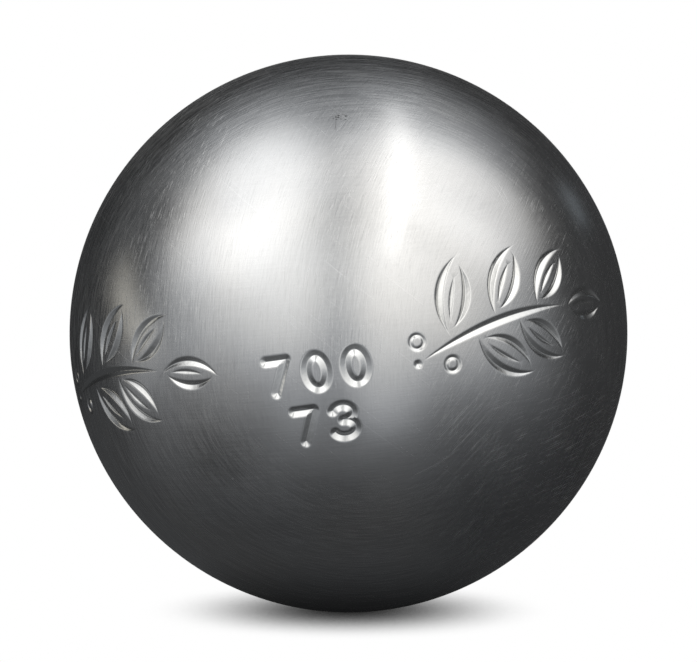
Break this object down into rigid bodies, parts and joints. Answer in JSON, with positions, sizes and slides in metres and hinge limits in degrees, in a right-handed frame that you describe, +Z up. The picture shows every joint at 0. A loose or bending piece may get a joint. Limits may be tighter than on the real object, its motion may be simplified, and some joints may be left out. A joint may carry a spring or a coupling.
{
  "type": "petanque boule",
  "caption": "Hollow steel throwing ball made of half shells joined by a flush ground weld, with a satin brushed surface and a leaning band of engraved leafy sprigs.",
  "frame": {"origin": "the ball's centre", "axes": "+Z up as the ball lies in the picture; -Y is the front, which faces the picture's camera; +X to the right; the halves are solids of revolution about Y and the seam lies in the X-Z plane"},
  "size_m": [0.073, 0.073, 0.073],
  "materials": {
    "shell_steel": "satin",
    "weld_steel": "satin"
  },
  "bodies": {
    "root": {"front_shell": "shell_steel", "rear_shell": "shell_steel", "weld_bead": "weld_steel"}
  },
  "joints": []
}
